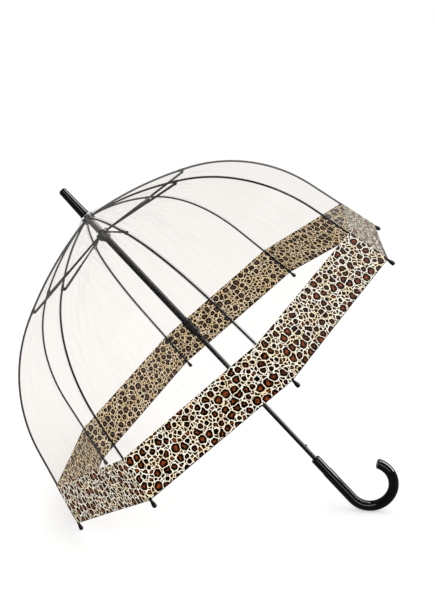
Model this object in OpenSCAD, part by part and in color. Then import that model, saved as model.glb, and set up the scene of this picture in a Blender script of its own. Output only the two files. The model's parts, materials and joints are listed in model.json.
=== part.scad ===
// Clear bubble umbrella with a printed border, open and lying on two rib tips and its handle.
// Built about the shaft first: z = 0 is the crown of the canopy, +z runs to the ferrule and
// the shaft runs down to the handle. The hook curls towards +x. Module lay() then sets the
// whole umbrella down on the surface that it rests on. All sizes are in millimetres.

/* [Canopy] */
// Radius of the hem at a rib
hem_r = 437; // [380:1:500]
// Depth of the hem below the crown, at a rib
hem_depth = 434; // [380:1:500]
// Angle between the last stretch of a rib and the shaft
rib_lean = 15.3; // [8:0.1:22]
// Height of the printed border, along a rib
border_h = 87; // [50:1:130]
// Thickness of the PVC film
film_t = 0.4; // [0.3:0.1:1]
// Gap between the film and the ribs under it
film_gap = 1.1; // [0.9:0.1:1.5]

/* [Ribs] */
// Diameter of a rib rod
rib_d = 3.2; // [2.4:0.1:4]
// Radius of the bracket where the stretcher meets its rib
bracket_r = 209; // [185:1:225]
// Depth of the bracket below the crown
bracket_depth = 66; // [50:1:80]
// Slope of the rib below the horizontal, at its bracket
bracket_slope = 24; // [21:0.5:28]
// Length of the bracket's sleeve along the rib
bracket_len = 16; // [10:1:24]
// Length of a tip cap beyond the hem
cap_out = 16; // [10:1:24]
// Length of a tip cap inside the hem
cap_in = 9; // [6:1:14]
// Diameter of a tip cap at its round end
cap_d = 8.6; // [7:0.1:11]

/* [Stretchers] */
// Diameter of a stretcher rod
stretcher_d = 2.5; // [2:0.1:3]
// Distance between a stretcher and the plane of its rib
stretcher_side = 4.6; // [4.4:0.1:5.4]
// Distance of the stretcher's outer pivot from the rib
lug_drop = 5.2; // [5:0.1:7]
// Length of the dark sleeve at the stretcher's outer end
stretcher_sleeve = 17; // [12:1:24]

/* [Shaft] */
// Outer diameter of the shaft tube
shaft_d = 10; // [9:0.1:12]
// Wall of the shaft tube
shaft_wall = 0.8; // [0.6:0.1:1.2]
// Depth of the handle's top edge below the crown
collar_depth = 689; // [640:1:760]
// Depth at which the handle starts to bend
bend_depth = 816; // [780:1:880]
// Depth of the runner's stretcher pivots in the open position
hub_depth = 50; // [44:1:60]

/* [Runner] */
// Wall of the runner's neck tube
neck_wall = 0.9; // [0.7:0.1:1.4]
// Clearance between the neck tube and the shaft
neck_gap = 0.9; // [0.8:0.1:1.2]
// Depth of the bottom edge of the runner's grip
grip_bottom = 332; // [300:1:345]
// Length of the runner's grip
grip_len = 38; // [30:1:50]
// Diameter of the runner's grip
grip_d = 22; // [20:0.5:26]
// Diameter of the slotted hub at the top of the runner
hub_d = 27; // [26:0.5:30]

/* [Crown] */
// Diameter of the slotted notch that holds the ribs
notch_d = 26; // [24:0.5:30]
// Depth of the rib pivots below the crown
notch_depth = 8; // [7:0.5:11]
// Length of the ferrule
ferrule_len = 70; // [50:1:90]
// Diameter of the ferrule where it meets the canopy
ferrule_d = 19.5; // [17:0.5:23]
// Diameter of the ferrule at its end
ferrule_end_d = 16.4; // [13:0.1:18]
// Diameter of the clear washer under the ferrule
washer_d = 27; // [24:0.5:34]
// Thickness of the clear washer
washer_t = 1.2; // [0.8:0.1:2]

/* [Handle] */
// Diameter of the handle at its top
collar_d = 20; // [18:0.5:23]
// Length of the handle's slimmer top
collar_len = 37; // [25:1:50]
// Diameter of the handle along the grip and the hook
handle_d = 21.8; // [19:0.1:25]
// Radius of the hook, to the middle of the bar
hook_r = 49; // [40:1:60]
// Angle that the hook turns through
hook_turn = 210; // [180:1:225]

/* [Catches] */
// Depth of the nose of the catch that holds the runner up
top_catch_depth = 316; // [290:1:325]
// How far that nose stands out of the shaft
top_catch_out = 0.6; // [0.4:0.1:0.6]
// Depth of the nose of the catch that holds the runner down
lower_catch_depth = 664; // [630:1:674]
// How far that nose stands out of the shaft
lower_catch_out = 2.4; // [1.5:0.1:3]

/* [Fits] */
// Radial clearance of a hinge pin in its eye
pin_gap = 0.08; // [0.05:0.01:0.1]
// Gap between pieces that only sit side by side
side_gap = 0.3; // [0.3:0.05:0.5]
// Clearance between pieces that are fixed together
fixed_gap = 0.02; // [0.01:0.01:0.05]

/* [Hidden] */
RIB_IDS = [1, 2, 3, 4, 5, 6, 7, 8];
RIB_PIECES = ["rib_upper_", "rib_lower_", "stretcher_", "gore_upper_", "gore_lower_", "border_"];
$fn = 64;

BLACK = [0.05, 0.05, 0.055];
GLOSS_BLACK = [0.02, 0.02, 0.022];
STEEL = [0.42, 0.41, 0.39];
CLEAR = [0.93, 0.95, 0.96, 0.3];
LEOPARD = [0.80, 0.66, 0.45];

rib_step = 360 / len(RIB_IDS);
shaft_r = shaft_d / 2;
rib_r = rib_d / 2;
overlap = 0.01;

// ---- The line of a rib, as (radius, depth below the crown) ----
// A short straight root leaves the notch, and an arc reaches the bracket at bracket_slope. The
// bracket holds a short straight stretch. A second arc carries on from there, and a straight
// stretch that leans by rib_lean ends it at the hem.
function cross2(a, b) = a[0] * b[1] - a[1] * b[0];
function point_on_arc(centre, radius, slope) = centre + radius * [sin(slope), -cos(slope)];

pin_r = 0.8;
eye_r = 2.6;
eye_t = 2.4;
notch_pivot = [notch_d / 2 - 3, notch_depth];
bracket = [bracket_r, bracket_depth];
hem = [hem_r, hem_depth];
end_dir = [sin(rib_lean), cos(rib_lean)];
bracket_dir = [cos(bracket_slope), sin(bracket_slope)];
bracket_start = bracket - bracket_len / 2 * bracket_dir;
bracket_end = bracket + bracket_len / 2 * bracket_dir;

root_len = 6;
inner_run = bracket_start - notch_pivot;
inner_reach = (inner_run * inner_run - root_len * root_len)
    / (2 * (inner_run * bracket_dir + root_len));
inner_corner = bracket_start - inner_reach * bracket_dir;
root_dir = (inner_corner - notch_pivot) / norm(inner_corner - notch_pivot);
root_end = notch_pivot + root_len * root_dir;
root_slope = atan2(root_dir[1], root_dir[0]);
inner_arc_r = inner_reach / tan((bracket_slope - root_slope) / 2);
inner_arc_centre = bracket_start + inner_arc_r * [-sin(bracket_slope), cos(bracket_slope)];

end_slope = 90 - rib_lean;
corner_reach = cross2(hem - bracket_end, end_dir) / cross2(bracket_dir, end_dir);
outer_arc_r = corner_reach / tan((end_slope - bracket_slope) / 2);
outer_arc_centre = bracket_end + outer_arc_r * [-sin(bracket_slope), cos(bracket_slope)];
arc_end = bracket_end + corner_reach * (bracket_dir + end_dir);
flex_slope = (bracket_slope + end_slope) / 2;
flex_point = point_on_arc(outer_arc_centre, outer_arc_r, flex_slope);
rib_end = hem + (cap_out - cap_d / 2) * end_dir;
border_top = hem - border_h * end_dir;

// ---- How the umbrella lies: two tip caps and the outside of the hook touch the surface ----
cap_reach = (hem_r + (cap_out - cap_d / 2) * sin(rib_lean)) * cos(rib_step / 2);
cap_drop = rib_end[1];
lean_x = cap_reach + hook_r;
lean_z = bend_depth - cap_drop;
hook_low = hook_r + handle_d / 2 - cap_d / 2;
lie_angle = atan2(lean_x, lean_z) - asin(hook_low / norm([lean_x, lean_z]));
lift = cap_reach * cos(lie_angle) + cap_drop * sin(lie_angle) + cap_d / 2;
// The lying umbrella is centred between the outside of its hook and the outside of its dome.
far_right = hook_r * sin(lie_angle) + bend_depth * cos(lie_angle) + hook_r + handle_d / 2;
dome_dir = [cos(rib_step / 2) * sin(lie_angle), cos(lie_angle)];
far_left = dome_dir[0] * outer_arc_centre[0] - dome_dir[1] * outer_arc_centre[1]
    + (outer_arc_r + rib_r + film_gap + film_t) * norm(dome_dir);
mid_x = (far_right - far_left) / 2;

module lay() {
    translate([-mid_x, 0, lift])
        rotate([0, lie_angle - 90, 0])
            children();
}

// Turns a child drawn in the plane of one rib, x outwards, to that rib's place.
module at_rib(id) {
    rotate([0, 0, (id - 0.5) * rib_step])
        children();
}

// A rod bent to part of an arc: centre and slopes as for the line of a rib.
module bent_rod(centre, radius, from_slope, to_slope, rod_r) {
    translate([centre[0], 0, -centre[1]])
        rotate([90, 0, 0])
            rotate([0, 0, 90 - to_slope])
                rotate_extrude(angle = to_slope - from_slope, $fn = 180)
                    translate([radius, 0])
                        circle(r = rod_r, $fn = 32);
}

// A straight rod between two (radius, depth) points of one rib's plane.
module straight_rod(from, to, rod_r, rod_end_r = -1) {
    run = to - from;
    translate([from[0], 0, -from[1]])
        rotate([0, 90 + atan2(run[1], run[0]), 0])
            cylinder(h = norm(run), r1 = rod_r, r2 = rod_end_r < 0 ? rod_r : rod_end_r);
}

// A round boss across the plane of a rib, centred at side.
module across(point, radius, width, side = 0) {
    translate([point[0], side, -point[1]])
        rotate([90, 0, 0])
            cylinder(h = width, r = radius, center = true);
}

// ---- Crown ----
ferrule_bore_depth = 30;
ferrule_chamfer = 3;
ferrule_tip_len = 14;

module ferrule() {
    foot = washer_t + 2;
    tip_start = ferrule_len - ferrule_chamfer - ferrule_tip_len;
    color(GLOSS_BLACK)
        lay()
            difference() {
                union() {
                    translate([0, 0, washer_t])
                        cylinder(h = 2, d = ferrule_d + 1.5);
                    translate([0, 0, foot])
                        cylinder(h = tip_start - foot, d1 = ferrule_d, d2 = ferrule_end_d);
                    translate([0, 0, tip_start])
                        cylinder(h = ferrule_tip_len, d = ferrule_end_d);
                    translate([0, 0, ferrule_len - ferrule_chamfer])
                        cylinder(h = ferrule_chamfer, d1 = ferrule_end_d,
                            d2 = ferrule_end_d - 2 * ferrule_chamfer);
                }
                translate([0, 0, -overlap])
                    cylinder(h = ferrule_bore_depth + fixed_gap, r = shaft_r + fixed_gap);
            }
}

module crown_washer() {
    color(CLEAR)
        lay()
            difference() {
                cylinder(h = washer_t - fixed_gap, d = washer_d);
                translate([0, 0, -1])
                    cylinder(h = washer_t + 2, r = shaft_r + fixed_gap);
            }
}

notch_top = 2.2;
notch_h = 13;
rib_eye_t = rib_d + 0.2;
notch_slot_w = rib_eye_t + 2 * side_gap;

module top_notch() {
    color(STEEL)
        lay()
            difference() {
                union() {
                    translate([0, 0, -notch_top - notch_h])
                        cylinder(h = notch_h, d = notch_d);
                    translate([0, 0, -notch_top - notch_h - 4])
                        cylinder(h = 4 + overlap, r = shaft_r + 2.2);
                }
                translate([0, 0, -notch_top - notch_h - 5])
                    cylinder(h = notch_h + 6, r = shaft_r + fixed_gap);
                for (id = RIB_IDS)
                    at_rib(id) {
                        translate([shaft_r + 1.4, -notch_slot_w / 2, -notch_top - notch_h - 1])
                            cube([notch_d, notch_slot_w, notch_h + 2]);
                        across(notch_pivot, pin_r + fixed_gap, pin_len + 0.4);
                    }
            }
}

pin_len = 6.2;

module notch_pins() {
    color(STEEL)
        lay()
            for (id = RIB_IDS)
                at_rib(id)
                    across(notch_pivot, pin_r, pin_len);
}

// ---- Shaft and its two catches ----
catch_slot_w = 3;
catch_w = 2.4;
catch_t = 0.8;
catch_up = 16;
catch_down = 10;
catch_x = shaft_r - shaft_wall - 1.2;
handle_insert = 60;

// A slot through the upper side of the shaft wall, which the catch at this depth works in.
module catch_slot(depth) {
    translate([0, -catch_slot_w / 2, -depth - catch_down + 2])
        cube([shaft_d, catch_slot_w, catch_up + catch_down - 4]);
}

module shaft() {
    bottom = collar_depth + handle_insert;
    color(BLACK)
        lay()
            difference() {
                translate([0, 0, -bottom])
                    cylinder(h = bottom + ferrule_bore_depth - 1, r = shaft_r);
                translate([0, 0, -bottom - 1])
                    cylinder(h = bottom + ferrule_bore_depth + 1, r = shaft_r - shaft_wall);
                catch_slot(top_catch_depth);
                catch_slot(lower_catch_depth);
                for (depth = [top_catch_depth, lower_catch_depth])
                    across([catch_x - catch_t / 2, depth - catch_up], pin_r, shaft_d + 2);
            }
}

// A sprung leaf on a cross pin inside the shaft. Its nose slopes on the side that the runner
// arrives from, and is square on the side that holds the runner.
module catch(depth, out) {
    nose = shaft_r + out;
    difference() {
        union() {
            translate([0, catch_w / 2, 0])
                rotate([90, 0, 0])
                    linear_extrude(height = catch_w)
                        polygon([
                            [catch_x - catch_t, -depth + catch_up],
                            [catch_x, -depth + catch_up],
                            [catch_x, -depth + 11],
                            [nose, -depth + 2],
                            [nose, -depth],
                            [catch_x, -depth - 1.2],
                            [catch_x, -depth - catch_down],
                            [catch_x - catch_t, -depth - catch_down]
                        ]);
            across([catch_x - catch_t / 2, depth - catch_up], 1.3, catch_w);
        }
        across([catch_x - catch_t / 2, depth - catch_up], pin_r, catch_w + 2);
    }
    across([catch_x - catch_t / 2, depth - catch_up], pin_r - pin_gap, shaft_d - 2.4);
}

module top_catch() {
    color(STEEL)
        lay()
            catch(top_catch_depth, top_catch_out);
}

module lower_catch() {
    color(STEEL)
        lay()
            catch(lower_catch_depth, lower_catch_out);
}

// ---- Handle ----
module handle() {
    shoulder = 4;
    top_edge = 1.5;
    end_edge = 2.5;
    hook_centre = [hook_r, 0, -bend_depth];
    color(GLOSS_BLACK)
        lay()
            difference() {
                union() {
                    rotate_extrude($fn = 96)
                        polygon([
                            [0, -collar_depth],
                            [collar_d / 2 - top_edge, -collar_depth],
                            [collar_d / 2, -collar_depth - top_edge],
                            [collar_d / 2, -collar_depth - collar_len],
                            [handle_d / 2, -collar_depth - collar_len - shoulder],
                            [handle_d / 2, -bend_depth],
                            [0, -bend_depth]
                        ]);
                    translate(hook_centre)
                        rotate([90, 0, 0])
                            rotate([0, 0, 180])
                                rotate_extrude(angle = hook_turn, $fn = 96)
                                    translate([hook_r, 0])
                                        circle(d = handle_d, $fn = 48);
                    hook_end(hook_centre)
                        translate([0, 0, -1])
                            cylinder(h = end_edge + 1, d1 = handle_d - 0.4, d2 = handle_d - 2 * end_edge);
                }
                translate([0, 0, -collar_depth - handle_insert - 2])
                    cylinder(h = handle_insert + 4, r = shaft_r + fixed_gap);
                hook_end(hook_centre)
                    translate([0, 0, end_edge / 2])
                        cylinder(h = end_edge, d = handle_d - 4 * end_edge);
            }
}

// Places a child, drawn on +z, on the free end of the hook.
module hook_end(centre) {
    translate(centre)
        rotate([90, 0, 0])
            rotate([0, 0, 180 + hook_turn])
                translate([hook_r, 0, 0])
                    rotate([-90, 0, 0])
                        children();
}

// ---- Runner ----
neck_d = shaft_d + 2 * (neck_gap + neck_wall);
hub_pivot = [hub_d / 2 - 1.5, hub_depth];
hub_above = 5;
hub_below = 9;
neck_top = hub_depth - hub_above - 3;
catch_way_w = 5;
hub_slot_w = stretcher_d + 2 * side_gap;

module runner_hub() {
    color(BLACK)
        lay()
            difference() {
                union() {
                    translate([0, 0, -hub_depth - hub_below])
                        cylinder(h = hub_below + hub_above, d = hub_d);
                    translate([0, 0, -hub_depth - hub_below - 6])
                        cylinder(h = 6 + overlap, d1 = neck_d + 3, d2 = hub_d - 4);
                }
                translate([0, 0, -hub_depth - hub_below - 7])
                    cylinder(h = hub_below + hub_above + 8, d = neck_d + 2 * fixed_gap);
                for (id = RIB_IDS)
                    at_rib(id) {
                        translate([neck_d / 2 + 1.4, stretcher_side - hub_slot_w / 2, -hub_depth - 4])
                            cube([hub_d, hub_slot_w, hub_above + 5]);
                        across(hub_pivot, pin_r + fixed_gap, pin_len + 0.4, stretcher_side);
                    }
            }
}

module runner_pins() {
    color(STEEL)
        lay()
            for (id = RIB_IDS)
                at_rib(id)
                    across(hub_pivot, pin_r, pin_len, stretcher_side);
}

// The way that a catch takes through the wall of the runner's lower end.
module catch_way() {
    translate([0, -catch_way_w / 2, -grip_bottom - 1])
        cube([grip_d, catch_way_w, grip_bottom - top_catch_depth + 14]);
}

module runner_tube() {
    color(BLACK)
        lay()
            difference() {
                translate([0, 0, -grip_bottom + 2])
                    cylinder(h = grip_bottom - 2 - neck_top, d = neck_d);
                translate([0, 0, -grip_bottom])
                    cylinder(h = grip_bottom, r = shaft_r + neck_gap);
                catch_way();
            }
}

module runner_grip() {
    flange_h = 3;
    flange_d = grip_d + 6;
    waist_h = grip_len - 2 * flange_h - 9;
    top = grip_bottom - grip_len;
    color(BLACK)
        lay()
            difference() {
                union() {
                    translate([0, 0, -top - 6])
                        cylinder(h = 6, d1 = grip_d, d2 = neck_d + 2);
                    translate([0, 0, -top - 6 - flange_h])
                        cylinder(h = flange_h + overlap, d = flange_d);
                    translate([0, 0, -top - 6 - flange_h - waist_h])
                        cylinder(h = waist_h + overlap, d = grip_d - 3);
                    translate([0, 0, -top - 6 - 2 * flange_h - waist_h])
                        cylinder(h = flange_h + overlap, d1 = grip_d, d2 = grip_d);
                    translate([0, 0, -grip_bottom])
                        cylinder(h = 3 + overlap, d1 = neck_d + 2, d2 = grip_d - 2);
                    for (turn = [90, 270])
                        rotate([0, 0, turn])
                            translate([0, -2, -top - 6 - flange_h - waist_h])
                                cube([flange_d / 2, 4, waist_h]);
                }
                translate([0, 0, -grip_bottom + 2])
                    cylinder(h = grip_len + 8, d = neck_d + 2 * fixed_gap);
                translate([0, 0, -grip_bottom - 1])
                    cylinder(h = grip_len, r = shaft_r + neck_gap);
                catch_way();
            }
}

// ---- Ribs and stretchers ----
lug_point = bracket + lug_drop * [-sin(bracket_slope), cos(bracket_slope)];
sleeve_r = stretcher_d / 2 + 0.45;
lug_w = stretcher_side - sleeve_r - side_gap + rib_r;
flex_ball_r = rib_r + 0.5;
// A straight stretch is a hair thicker than an arc, and laps over the end of it.
straight_r = rib_r + 0.06;
lap = 1;

module rib_upper(id) {
    rod_end_slope = flex_slope - asin((flex_ball_r + side_gap) / outer_arc_r);
    color(BLACK)
        lay()
            at_rib(id) {
                straight_rod(notch_pivot + 1.5 * root_dir, root_end + lap * root_dir, straight_r);
                bent_rod(inner_arc_centre, inner_arc_r, root_slope, bracket_slope, rib_r);
                straight_rod(bracket_start - lap * bracket_dir,
                    bracket_end + lap * bracket_dir, straight_r);
                difference() {
                    across(notch_pivot, eye_r, rib_eye_t);
                    across(notch_pivot, pin_r + pin_gap, rib_eye_t + 2);
                }
                bent_rod(outer_arc_centre, outer_arc_r, bracket_slope, rod_end_slope, rib_r);
                bracket_piece();
            }
}

// The moulded bracket: a sleeve on the rib, with a lug that faces the shaft.
module bracket_piece() {
    difference() {
        union() {
            straight_rod(bracket_start, bracket_end, rib_r + 0.8);
            translate([0, lug_w / 2 - rib_r, 0])
                across(lug_point, eye_r, lug_w);
            lug_web();
        }
        straight_rod(bracket_start - bracket_dir, bracket_end + bracket_dir, straight_r + fixed_gap);
    }
}

module lug_web() {
    inset = 0.2;
    translate([bracket_r, 0, -bracket_depth])
        rotate([0, bracket_slope, 0])
            translate([inset - eye_r, inset - rib_r, -lug_drop])
                cube([2 * (eye_r - inset), lug_w - 2 * inset, lug_drop]);
}

module rib_lower(id) {
    rod_end = hem + 4 * end_dir;
    color(BLACK)
        lay()
            at_rib(id) {
                translate([flex_point[0], 0, -flex_point[1]])
                    sphere(r = flex_ball_r);
                bent_rod(outer_arc_centre, outer_arc_r, flex_slope, end_slope, rib_r);
                straight_rod(arc_end - lap * end_dir, rod_end, straight_r);
                tip_cap(rod_end + side_gap * end_dir);
            }
}

// A moulded cap with a round end, pushed over the end of the rod.
module tip_cap(bore_end) {
    cap_start = hem - cap_in * end_dir;
    difference() {
        union() {
            straight_rod(cap_start, hem + lap * end_dir, rib_r + 0.5);
            straight_rod(hem, rib_end, rib_r + 0.6, cap_d / 2 - 0.3);
            translate([rib_end[0], 0, -rib_end[1]])
                sphere(d = cap_d);
        }
        straight_rod(cap_start - end_dir, bore_end, straight_r + fixed_gap);
    }
}

module stretcher(id) {
    run = lug_point - hub_pivot;
    along = run / norm(run);
    sleeve_start = lug_point - stretcher_sleeve * along;
    color(BLACK)
        lay()
            at_rib(id)
                translate([0, stretcher_side, 0])
                    difference() {
                        union() {
                            across(hub_pivot, eye_r - 0.2, eye_t);
                            straight_rod(hub_pivot + 1.5 * along, lug_point, stretcher_d / 2);
                            straight_rod(sleeve_start, lug_point, sleeve_r);
                            across(lug_point, eye_r - 0.2, eye_t);
                        }
                        across(hub_pivot, pin_r + pin_gap, eye_t + 2);
                    }
}

// ---- Canopy ----
// A panel spans two ribs and is flat across. Its lines are points of one rib's plane, moved
// out to lie on the ribs, and it stops short of the middle of each rib by half of side_gap.
// The first two points hold the film flat between the notch and the clear washer.
film_out = (rib_r + film_gap) / cos(rib_step / 2);
crown_point_depth = film_out + film_t + 0.2;

function normal_at(slope) = [sin(slope), -cos(slope)];
function on_film(point, slope, out) = point + out * normal_at(slope);

upper_steps = 8;
upper_line = concat(
    [[[shaft_r + 1, crown_point_depth], 0]],
    [[[(notch_d / 2 + 1.2) / cos(rib_step / 2), crown_point_depth], 0]],
    [for (i = [1 : upper_steps])
        let (slope = root_slope + (bracket_slope - root_slope) * i / upper_steps)
        [point_on_arc(inner_arc_centre, inner_arc_r, slope), slope]],
    [for (i = [1 : upper_steps])
        let (slope = bracket_slope + (flex_slope - bracket_slope) * i / upper_steps)
        [point_on_arc(outer_arc_centre, outer_arc_r, slope), slope]]
);
lower_steps = 6;
lower_line = concat(
    [for (i = [0 : lower_steps])
        let (slope = flex_slope + (end_slope - flex_slope) * i / lower_steps)
        [point_on_arc(outer_arc_centre, outer_arc_r, slope), slope]],
    [[border_top - side_gap / 2 * end_dir, end_slope]]
);
border_line = [[border_top + side_gap / 2 * end_dir, end_slope], [hem, end_slope]];

// One corner of a panel: on the plane of a rib, set sideways by half a gap.
function film_corner(point, angle, side) = [
    point[0] * cos(angle) - side * side_gap / 2 * sin(angle),
    point[0] * sin(angle) + side * side_gap / 2 * cos(angle),
    -point[1]
];

module film_panel(id, line) {
    from = (id - 0.5) * rib_step;
    to = from + rib_step;
    count = len(line);
    rows = [for (entry = line)
        let (inner = on_film(entry[0], entry[1], film_out))
        let (outer = on_film(entry[0], entry[1], film_out + film_t))
        [film_corner(inner, from, 1), film_corner(outer, from, 1),
            film_corner(outer, to, -1), film_corner(inner, to, -1)]];
    points = [for (row = rows) each row];
    faces = concat(
        [[0, 1, 2, 3]],
        [for (k = [0 : count - 2])
            for (side = [0 : 3])
                [4 * k + side, 4 * k + 4 + side, 4 * k + 4 + (side + 1) % 4, 4 * k + (side + 1) % 4]],
        [[for (side = [3 : -1 : 0]) 4 * (count - 1) + side]]
    );
    polyhedron(points = points, faces = faces, convexity = 4);
}

module gore_upper(id) {
    color(CLEAR)
        lay()
            film_panel(id, upper_line);
}

module gore_lower(id) {
    color(CLEAR)
        lay()
            film_panel(id, [for (i = [0 : len(lower_line) - 1])
                i == 0 ? [lower_line[0][0] + side_gap * [cos(flex_slope), sin(flex_slope)], flex_slope]
                    : lower_line[i]]);
}

module border(id) {
    color(LEOPARD)
        lay()
            film_panel(id, border_line);
}

ferrule();
crown_washer();
top_notch();
notch_pins();
shaft();
handle();
top_catch();
lower_catch();
runner_hub();
runner_pins();
runner_tube();
runner_grip();
for (id = RIB_IDS) {
    rib_upper(id);
    rib_lower(id);
    stretcher(id);
    gore_upper(id);
    gore_lower(id);
    border(id);
}
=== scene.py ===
"""A clear bubble umbrella with a printed border, lying open on two rib tips and its handle."""

import json
import math

import bpy
import numpy as np
from mathutils import Matrix


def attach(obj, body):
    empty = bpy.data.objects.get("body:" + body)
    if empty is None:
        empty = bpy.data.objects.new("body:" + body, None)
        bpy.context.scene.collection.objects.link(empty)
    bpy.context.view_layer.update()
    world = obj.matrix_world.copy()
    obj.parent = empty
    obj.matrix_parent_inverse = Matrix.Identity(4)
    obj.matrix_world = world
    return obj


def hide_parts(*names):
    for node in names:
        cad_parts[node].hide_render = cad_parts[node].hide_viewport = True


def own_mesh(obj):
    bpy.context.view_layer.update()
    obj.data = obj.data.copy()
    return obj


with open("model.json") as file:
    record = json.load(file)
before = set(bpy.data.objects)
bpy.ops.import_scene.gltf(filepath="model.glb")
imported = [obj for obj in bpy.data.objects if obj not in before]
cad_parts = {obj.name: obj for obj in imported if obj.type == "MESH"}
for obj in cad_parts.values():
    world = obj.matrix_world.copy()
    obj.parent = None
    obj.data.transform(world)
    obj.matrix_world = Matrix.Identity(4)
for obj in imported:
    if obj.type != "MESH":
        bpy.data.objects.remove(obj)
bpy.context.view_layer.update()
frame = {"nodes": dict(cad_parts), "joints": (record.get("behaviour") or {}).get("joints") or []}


# ---- Ferrule --------------------------------------------------------------------------------
# The moulded ABS point above the canopy, pushed on to the shaft. It tapers towards a round end
# with a fine groove, and a foot flange presses on the clear washer below it.

# An umbrella is set out from its crown, where the shaft meets the canopy. Depths run down the
# shaft from there, in mm, and the frame's eight rib hinges stand in a ring just below it.
RIBS = range(1, 9)
NOTCH_PIVOT = np.array([10.0, 8.0])

joints = {joint["name"]: joint for joint in frame["joints"]}
down = np.array(joints["runner_slide"]["axis"])
hookward = np.array([-down[2], 0.0, down[0]])
level = np.array([0.0, 1.0, 0.0])
hinge_ring = np.array([joints[f"rib_hinge_{n}"]["pos_m"] for n in RIBS])
crown = hinge_ring.mean(0) - NOTCH_PIVOT[1] / 1000 * down


def on_umbrella(x, y, depth):
    """Places x towards the hook, y across and depth below the crown, all in mm.

    point = crown + x * hookward + y * level + depth * down, in metres in the shared frame.
    """
    x, y, depth = (value[..., None] for value in np.broadcast_arrays(x, y, depth))
    return crown + (x * hookward + y * level + depth * down) / 1000


def unit(vectors):
    """Vectors divided by their own lengths."""
    return vectors / np.linalg.norm(vectors, axis=-1, keepdims=True)


def linear(hex_colour):
    """An sRGB hex colour as linear RGBA: ((c + 0.055) / 1.055) ^ 2.4, or c / 12.92 when dark."""
    c = np.array([int(hex_colour[k : k + 2], 16) / 255 for k in (1, 3, 5)])
    return (*np.where(c <= 0.04045, c / 12.92, ((c + 0.055) / 1.055) ** 2.4), 1.0)


def add_node(tree, kind, inputs=(), **settings):
    """Adds a node with its settings. Its inputs are values or other nodes' outputs.

    They come as a list, from the first input on, or by name.
    """
    node = tree.nodes.new(kind)
    for key, value in settings.items():
        setattr(node, key, value)
    for key, value in inputs.items() if isinstance(inputs, dict) else enumerate(inputs):
        if isinstance(value, bpy.types.NodeSocket):
            tree.links.new(value, node.inputs[key])
        else:
            node.inputs[key].default_value = value
    return node


def new_material(name):
    """An empty material, its node tree, and its output node."""
    material = bpy.data.materials.new(name)
    material.use_nodes = True
    tree = material.node_tree
    tree.nodes.clear()
    return material, tree, add_node(tree, "ShaderNodeOutputMaterial")


def moulded(name, low, high, roughness, grain_mm, bump_mm, specular):
    """A moulded, cast or painted skin, with a grain that is grain_mm wide and bump_mm high.

    Soft patches, twelve grains wide, run between two close colours, and the roughness goes from
    0.8 to 1.25 of its middle value with them. A real skin's grain is finer, and wouldn't show.
    """
    material, tree, output = new_material(name)
    place = add_node(tree, "ShaderNodeTexCoord").outputs["Object"]
    patches = add_node(
        tree,
        "ShaderNodeTexNoise",
        {"Vector": place, "Scale": 1000 / (grain_mm * 12), "Detail": 3.0},
    ).outputs["Fac"]
    colour = add_node(
        tree,
        "ShaderNodeMix",
        {"Factor": patches, "A": linear(low), "B": linear(high)},
        data_type="RGBA",
    ).outputs[2]
    worn = add_node(
        tree, "ShaderNodeMapRange", [patches, 0.3, 0.7, roughness * 0.8, roughness * 1.25]
    ).outputs["Result"]
    grain = add_node(
        tree, "ShaderNodeTexNoise", {"Vector": place, "Scale": 1000 / grain_mm, "Detail": 2.0}
    ).outputs["Fac"]
    bump = add_node(
        tree, "ShaderNodeBump", {"Height": grain, "Distance": bump_mm / 1000, "Strength": 0.6}
    ).outputs["Normal"]
    shader = add_node(
        tree,
        "ShaderNodeBsdfPrincipled",
        {"Base Color": colour, "Roughness": worn, "Normal": bump, "Specular IOR Level": specular},
    )
    tree.links.new(shader.outputs[0], output.inputs["Surface"])
    return material


def eased(corners):
    """A line through corners (a, b, ease), each turned into a curve that starts and ends ease away.

    Between there the line is (1-t)^2 * start + 2t(1-t) * corner + t^2 * end.
    """
    corners = np.array(corners, float)
    points, ease = corners[:, :2], corners[:, 2]
    line = [points[:1]]
    t = np.linspace(0, 1, 5)[:, None]
    for before, here, after, reach in zip(points[:-2], points[1:-1], points[2:], ease[1:-1]):
        start = here + unit(before - here) * reach
        end = here + unit(after - here) * reach
        line.append((1 - t) ** 2 * start + 2 * t * (1 - t) * here + t**2 * end)
    line.append(points[-1:])
    return np.concatenate(line)


def turned(profile):
    """A profile of (radius, depth) turned about the shaft: x, y = radius * (cos, sin) of the angle."""
    angle = np.linspace(0, 2 * math.pi, 96, endpoint=False)
    return on_umbrella(
        profile[:, :1] * np.cos(angle), profile[:, :1] * np.sin(angle), profile[:, 1:2]
    )


def shell(points, around=False, ends=False, slot=0, uv=None, flip=False):
    """Quads over a grid of points, rows by columns.

    around joins the last column to the first, and ends closes the first and last rows with a fan
    about their middles. A shell that is closed both ways is turned so that its volume, the sum of
    a . (b x c) over its triangles, is positive.
    """
    rows, columns = points.shape[:2]
    here = np.arange(rows * columns).reshape(rows, columns)
    beside = np.roll(here, -1, axis=1) if around else here[:, 1:]
    here = here if around else here[:, :-1]
    quads = np.stack([here[:-1], beside[:-1], beside[1:], here[1:]], axis=-1)
    verts, faces = points.reshape(-1, 3), [quads.reshape(-1, 4)]
    if ends:
        verts = np.concatenate([verts, points[[0, -1]].mean(axis=1)])
        middles = np.full((2, columns), [[rows * columns], [rows * columns + 1]])
        faces.append(np.stack([beside[0], here[0], middles[0]], axis=-1))
        faces.append(np.stack([here[-1], beside[-1], middles[1]], axis=-1))
    if around and ends:
        volume = 0.0
        for block in faces:
            for k in range(1, block.shape[1] - 1):
                a, b, c = (verts[block[:, j]] for j in (0, k, k + 1))
                volume += np.einsum("ij,ij->", a, np.cross(b, c))
        flip = volume < 0
    if flip:
        faces = [block[:, ::-1] for block in faces]
    return {"verts": verts, "faces": faces, "slot": slot, "uv": uv}


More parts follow.
